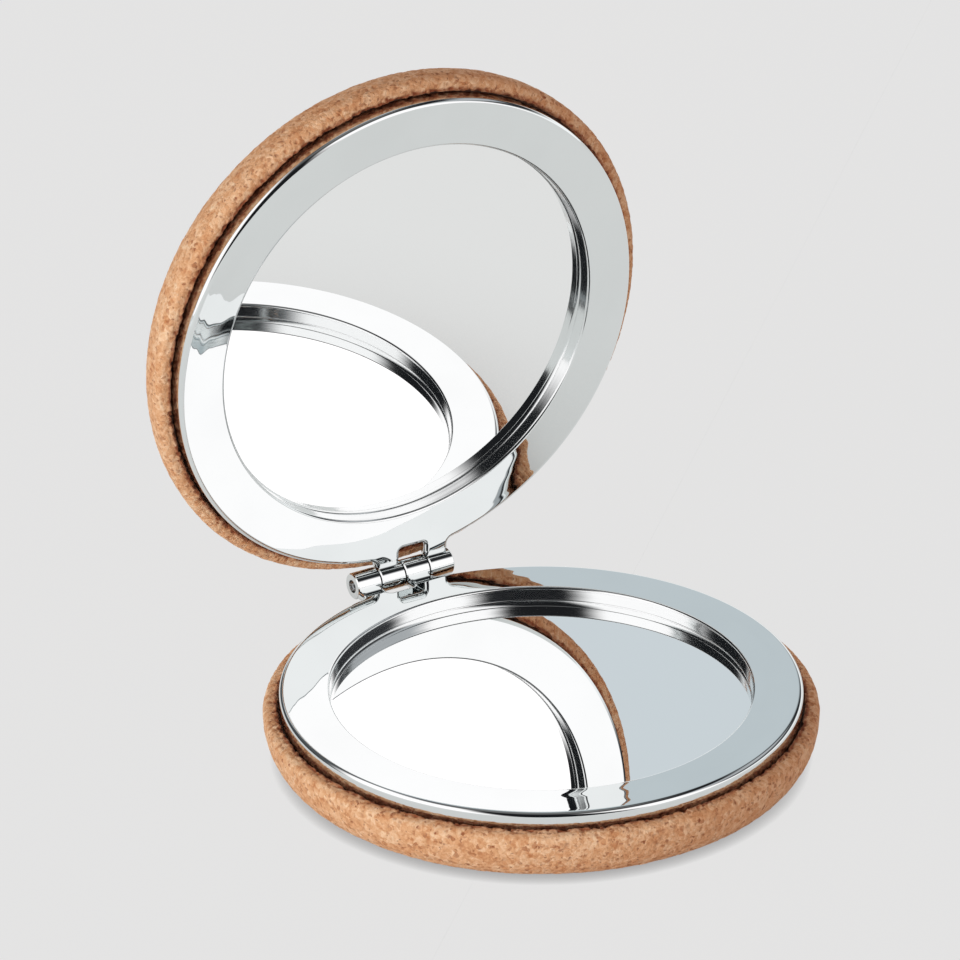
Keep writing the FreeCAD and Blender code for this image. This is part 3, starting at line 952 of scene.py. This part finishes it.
def knuckle_bands(shape, middle):
    """A bored barrel: a section of distance along the hinge's axis and radius, carried round that axis."""
    half, chamfer = shape.knuckle_length / 2, shape.knuckle_chamfer
    radius, bore = shape.knuckle_radius, shape.bore_radius
    section = [
        (-half, bore),
        (-half, radius - chamfer),
        (chamfer - half, radius),
        (half - chamfer, radius),
        (half, radius - chamfer),
        (half, bore),
        (-half, bore),
    ]
    turn = np.linspace(2 * math.pi, 0, shape.knuckle_columns, endpoint=False)

    def about_axis(along, out):
        return np.stack([along + 0 * turn, out * np.cos(turn), out * np.sin(turn)], axis=-1)

    bands = []
    for start, end in zip(section, section[1:]):
        out, back = np.subtract(end, start) / math.dist(start, end)
        normals = about_axis(-back, out)
        points = np.stack([about_axis(*start), about_axis(*end)]) + np.array([middle, *HINGE_POINT.yz])
        bands.append(Band(points, np.stack([normals] * 2)))
    return bands


def banded_grid(bands):
    """The vertices, quads and corner normals of a grid that closes both ways, made of bands of rows."""
    points = np.concatenate([band.points[:-1] for band in bands])
    first = np.concatenate([band.normals[:-1] for band in bands])
    last = np.concatenate([band.normals[1:] for band in bands])
    here = np.arange(points.shape[0] * points.shape[1]).reshape(points.shape[:2])
    below = np.roll(here, -1, axis=0)
    quads = np.stack([here, below, np.roll(below, -1, axis=1), np.roll(here, -1, axis=1)], axis=-1)
    corners = np.stack([first, last, np.roll(last, -1, axis=1), np.roll(first, -1, axis=1)], axis=2)
    return points.reshape(-1, 3), quads.reshape(-1, 4), corners.reshape(-1, 3)


def frame_surface(shape, leaf):
    """The ring with its fingers and a knuckle on each, with the section's exact normals on every corner."""
    pitch = shape.knuckle_length + shape.knuckle_gap
    knuckles = [knuckle_bands(shape, place * pitch) for place in (KNUCKLE_LEFT, KNUCKLE_RIGHT)]
    shells = [ring_bands(shape), *knuckles]
    points, quads, corners = zip(*(banded_grid(bands) for bands in shells))
    starts = np.cumsum([0] + [len(shell) for shell in points[:-1]])
    mesh = bpy.data.meshes.new(leaf + "_chrome")
    faces = np.concatenate([shell + start for shell, start in zip(quads, starts)])
    mesh.from_pydata(placed(np.concatenate(points), leaf).tolist(), [], faces.tolist())
    mesh.shade_smooth()
    turned_normals = np.concatenate(corners) @ np.array(LEAVES[leaf])[:3, :3].T
    mesh.normals_split_custom_set(turned_normals.tolist())
    return mesh


def cushion_surface(look, leaf):
    """A foam disc squeezed between card and tray: flat faces and a side that swells by half an ellipse."""
    low, high, radius = FOAM_BOX[0].z, FOAM_BOX[1].z, FOAM_BOX[1].x
    middle = (low + high) / 2
    outline = np.concatenate([
        run((0, low), (radius, low), 24),
        arc((radius, middle), (radius, low), (radius + look.bulge, middle), 8),
        arc((radius, middle), (radius + look.bulge, middle), (radius, high), 8),
        run((radius, high), (0, high), 24),
        np.array([(0.0, high)]),
    ])
    return turned_mesh(leaf + "_foam", placed(turned(outline, look.cushion_columns), leaf))


# Light

class Zone(NamedTuple):
    """A patch of the room round the object: where its middle is, half its width and height and its soft edge,
    all in degrees, how far it leans to the right for each degree up, and the light that it gives."""

    azimuth: float
    elevation: float
    half_width: float
    half_height: float
    edge: float
    lean: float
    light: tuple


ROOM = (0.013, 0.014, 0.016)
CEILING = (0.2, 0.2, 0.2)
# The elevations between which the room's walls turn into its ceiling, in degrees.
CEILING_START = 55.0
CEILING_END = 80.0
# The right wall and a grey strip on it, the pale back wall, two dim patches left of it, a bright strip low
# down at the right, and a soft box on each side of the camera.
ZONES = (
    Zone(100, 10, 35, 22, 6, 0.0, (0.035, 0.036, 0.04)),
    Zone(100, 39, 38, 9, 5, 0.0, (0.52, 0.53, 0.55)),
    Zone(12, 20, 32, 45, 12, 0.0, (0.62, 0.68, 0.715)),
    Zone(325, 20, 30, 45, 6, 0.0, (0.1, 0.105, 0.11)),
    Zone(345, 6, 27, 16, 5, 0.0, (0.07, 0.075, 0.08)),
    Zone(77, 0, 62, 14, 6, 0.0, (1.15, 1.15, 1.16)),
    Zone(153, 20, 24, 30, 8, 0.5, (1.35, 1.295, 1.30)),
    Zone(272, 24, 37, 34, 9, 0.5, (1.35, 1.295, 1.30)),
)


class Lamp(NamedTuple):
    """A soft lamp for the matt surfaces: where it stands and how far off, its width, power and colour."""

    name: str
    azimuth: float
    elevation: float
    distance: float
    width: float
    power: float
    colour: tuple


LAMPS = (
    Lamp("left_lamp", 256, 11, 1.2, 0.8, 13.5, (0.95, 1.02, 1.05)),
    Lamp("right_lamp", 160, 5, 1.2, 0.8, 3.6, (1.0, 0.9, 0.85)),
    Lamp("back_lamp", 31, 4, 1.2, 0.3, 6.0, (0.95, 1.02, 1.05)),
)


def towards(azimuth, elevation):
    """The direction with that azimuth, from +Y towards +X, and elevation, in degrees."""
    a, e = math.radians(azimuth), math.radians(elevation)
    return Vector((math.sin(a) * math.cos(e), math.cos(a) * math.cos(e), math.sin(e)))


def room_light(nodes):
    """What the metal sees: a dark room with a grey ceiling, and its zones, each over the ones before it."""
    x, y, z = nodes.split(nodes.add("ShaderNodeTexCoord").outputs["Generated"])
    azimuth = nodes.math("ARCTAN2", x, y) * math.degrees(1)
    elevation = nodes.math("ARCSINE", z) * math.degrees(1)
    light = nodes.blend(nodes.step(elevation, CEILING_START, CEILING_END), ROOM, CEILING)
    for zone in ZONES:
        above = elevation - zone.elevation
        across = nodes.math("WRAP", azimuth - zone.azimuth - zone.lean * above, 180.0, -180.0)
        sides = ((across, zone.half_width), (above, zone.half_height))
        wide, high = (1 - nodes.step(abs(off), half - zone.edge, half + zone.edge) for off, half in sides)
        light = nodes.blend(wide * high, light, zone.light)
    return light


def seen_plainly(nodes):
    """Two masks: rays from the camera, from polished metal or through glass, and the camera's alone."""
    path = nodes.add("ShaderNodeLightPath")
    names = ("Is Camera Ray", "Is Glossy Ray", "Is Transmission Ray")
    camera, glossy, through = (Number(nodes, path.outputs[name]) for name in names)
    return nodes.math("MINIMUM", camera + glossy + through, 1.0), camera


def build_world(stage):
    """The backdrop to the camera, the room to the metal and glass, and an even light to the matt surfaces."""
    world = bpy.data.worlds.new("studio")
    world.use_nodes = True
    nodes = Nodes(world.node_tree)
    plain, camera_ray = seen_plainly(nodes)
    light = nodes.blend(plain, tuple(stage.ambient), room_light(nodes))
    light = nodes.blend(camera_ray, light, tuple(stage.backdrop))
    background = nodes.add("ShaderNodeBackground", sockets={"Color": light})
    nodes.add("ShaderNodeOutputWorld", sockets={"Surface": background.outputs["Background"]})
    bpy.context.scene.world = world


def build_floor(stage):
    """A flat pale sheet that shows its plain colour, a share of the object's shadow and one where they touch.
    Each has one value for the camera and one for the mirrors."""
    contact_samples = 8
    made, nodes = new_material("floor")
    plain, camera_ray = seen_plainly(nodes)
    shadow, reach, contact = (
        mirrored + (direct - mirrored) * camera_ray
        for mirrored, direct in (
            (stage.mirrored_shadow, stage.shadow),
            (stage.mirrored_reach, stage.contact_reach),
            (stage.mirrored_contact, stage.contact),
        )
    )
    matt = nodes.add("ShaderNodeBsdfDiffuse", sockets={"Color": (stage.floor_albedo,) * 3})
    near = nodes.add("ShaderNodeAmbientOcclusion", {"samples": contact_samples}, {"Distance": reach})
    shaded = contact * (1 - Number(nodes, near.outputs["AO"]))
    plain_tone = nodes.blend(camera_ray, tuple(stage.mirrored), tuple(stage.backdrop))
    tone = nodes.blend(shaded, plain_tone, (0.0, 0.0, 0.0))
    even = nodes.add("ShaderNodeEmission", sockets={"Color": tone})
    sockets = {0: plain * (1 - shadow), 1: matt.outputs["BSDF"], 2: even.outputs["Emission"]}
    mixed = nodes.add("ShaderNodeMixShader", sockets=sockets)
    nodes.add("ShaderNodeOutputMaterial", sockets={"Surface": mixed.outputs["Shader"]})
    corners = np.array([(-1, -1, 0), (1, -1, 0), (1, 1, 0), (-1, 1, 0)]) * stage.floor_size
    mesh = bpy.data.meshes.new("floor")
    mesh.from_pydata((corners + np.array([0, 0, CAD_BOX[0].z])).tolist(), [], [(0, 1, 2, 3)])
    new_piece("floor", mesh, made)


def build_lamps():
    """Soft lamps that light the cork and the floor. The metal shows the room's soft boxes instead."""
    middle = (CAD_BOX[0] + CAD_BOX[1]) / 2
    for lamp in LAMPS:
        light = bpy.data.lights.new(lamp.name, "AREA")
        light.size = lamp.width
        light.energy = lamp.power
        light.color = lamp.colour
        holder = bpy.data.objects.new(lamp.name, light)
        away = towards(lamp.azimuth, lamp.elevation)
        holder.location = middle + away * lamp.distance
        holder.rotation_euler = away.to_track_quat("Z", "Y").to_euler()
        holder.visible_glossy = False
        bpy.context.scene.collection.objects.link(holder)


def build_camera(stage):
    """Stands the camera round the middle of the base's face and points it a little past that."""
    a, e = stage.azimuth, stage.elevation
    back = Vector((math.sin(a) * math.cos(e), -math.cos(a) * math.cos(e), math.sin(e)))
    right = (-back).cross(Vector((0, 0, 1))).normalized()
    up = right.cross(-back)
    ahead = (-back + math.tan(stage.turn) * right + math.tan(stage.tilt) * up).normalized()
    right = ahead.cross(up).normalized()
    up = right.cross(ahead)
    data = bpy.data.cameras.new("camera")
    data.lens = stage.lens
    holder = bpy.data.objects.new("camera", data)
    stand = Vector((0, 0, FACE_HEIGHT)) + back * stage.distance
    turned_axes = Matrix((right, up, -ahead)).transposed().to_4x4()
    holder.matrix_world = Matrix.Translation(stand) @ turned_axes
    bpy.context.scene.collection.objects.link(holder)
    bpy.context.scene.camera = holder


# Operators

# What sets the random numbers of one leaf's cork apart from the other's.
LEAF_SALT = 101


def dress(node, finish):
    """Gives a node of the frame a finish."""
    slots = frame["nodes"][node].material_slots
    if not slots:
        raise RuntimeError("the node " + node + " has no material slot")
    for slot in slots:
        slot.material = finish


class MIRROR_OT_cork_covers(bpy.types.Operator):
    """Make the two cork covers"""

    bl_idname = "pocket_mirror.cork_covers"
    bl_label = "Cork covers"

    def execute(self, context):
        look = context.scene.pocket_cork
        finish = cork_finish(look)
        for number, leaf in enumerate(LEAVES):
            cover = new_piece(leaf + "_cork", cork_surface(look, leaf, LEAF_SALT * number), finish)
            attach(cover, leaf)
            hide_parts(leaf + "_cork_cover")
        return {"FINISHED"}


class MIRROR_OT_frames(bpy.types.Operator):
    """Make and plate the two frames with their hinge knuckles"""

    bl_idname = "pocket_mirror.frames"
    bl_label = "Chrome frames"

    def execute(self, context):
        shape = context.scene.pocket_frame
        for leaf in LEAVES:
            finish = chrome_finish(leaf, context.scene.pocket_chrome)
            casting = new_piece(leaf + "_chrome", frame_surface(shape, leaf), finish)
            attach(casting, leaf)
            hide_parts(leaf + "_frame")
        return {"FINISHED"}


class MIRROR_OT_mirrors(bpy.types.Operator):
    """Silver the two mirrors"""

    bl_idname = "pocket_mirror.mirrors"
    bl_label = "Mirrors"

    def execute(self, context):
        for leaf in LEAVES:
            dress(leaf + "_mirror_glass", mirror_finish(leaf, context.scene.pocket_glass))
        return {"FINISHED"}


class MIRROR_OT_cushions(bpy.types.Operator):
    """Make the foam cushions behind the mirrors"""

    bl_idname = "pocket_mirror.cushions"
    bl_label = "Foam cushions"

    def execute(self, context):
        look = context.scene.pocket_inner
        finish = foam_finish(look)
        for leaf in LEAVES:
            cushion = new_piece(leaf + "_foam", cushion_surface(look, leaf), finish)
            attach(cushion, leaf)
            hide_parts(leaf + "_mirror_cushion")
        return {"FINISHED"}


class MIRROR_OT_trays_and_cards(bpy.types.Operator):
    """Finish the tinplate trays and the cards behind the mirrors"""

    bl_idname = "pocket_mirror.trays_and_cards"
    bl_label = "Trays and cards"

    def execute(self, context):
        look = context.scene.pocket_inner
        board = board_finish(look)
        for leaf in LEAVES:
            dress(leaf + "_tray", tin_finish(leaf, look))
            dress(leaf + "_mirror_card", board)
        return {"FINISHED"}


class MIRROR_OT_hinge_pin(bpy.types.Operator):
    """Finish the steel hinge pin"""

    bl_idname = "pocket_mirror.hinge_pin"
    bl_label = "Hinge pin"

    def execute(self, context):
        dress("hinge_pin", steel_finish(context.scene.pocket_inner))
        return {"FINISHED"}


class MIRROR_OT_stage(bpy.types.Operator):
    """Set the floor, the light and the camera"""

    bl_idname = "pocket_mirror.stage"
    bl_label = "Stage"

    def execute(self, context):
        stage = context.scene.pocket_stage
        build_floor(stage)
        build_world(stage)
        build_lamps()
        build_camera(stage)
        context.scene.view_settings.view_transform = "Standard"
        return {"FINISHED"}


OPERATORS = (
    MIRROR_OT_cork_covers,
    MIRROR_OT_frames,
    MIRROR_OT_mirrors,
    MIRROR_OT_cushions,
    MIRROR_OT_trays_and_cards,
    MIRROR_OT_hinge_pin,
    MIRROR_OT_stage,
)
SETTINGS = {
    "pocket_cork": CorkSettings,
    "pocket_frame": FrameSettings,
    "pocket_chrome": ChromeSettings,
    "pocket_glass": MirrorSettings,
    "pocket_inner": InnerSettings,
    "pocket_stage": StageSettings,
}


class MIRROR_PT_panel(bpy.types.Panel):
    """Lists the settings and what makes each piece"""

    bl_idname = "MIRROR_PT_panel"
    bl_label = "Pocket mirror"
    bl_space_type = "VIEW_3D"
    bl_region_type = "UI"
    bl_category = "Pocket mirror"

    def draw(self, context):
        for operator in OPERATORS:
            self.layout.operator(operator.bl_idname)
        for name, group in SETTINGS.items():
            box = self.layout.box()
            box.label(text=group.__doc__)
            for key in group.__annotations__:
                box.prop(getattr(context.scene, name), key)


CLASSES = (*SETTINGS.values(), *OPERATORS, MIRROR_PT_panel)


def register():
    for cls in CLASSES:
        bpy.utils.register_class(cls)
    for name, group in SETTINGS.items():
        setattr(bpy.types.Scene, name, PointerProperty(type=group))


def unregister():
    for name in SETTINGS:
        delattr(bpy.types.Scene, name)
    for cls in reversed(CLASSES):
        bpy.utils.unregister_class(cls)


def main():
    """Registers the classes and makes every piece and the stage."""
    register()
    for operator in OPERATORS:
        family, name = operator.bl_idname.split(".")
        getattr(getattr(bpy.ops, family), name)()


if __name__ == "__main__":
    main()
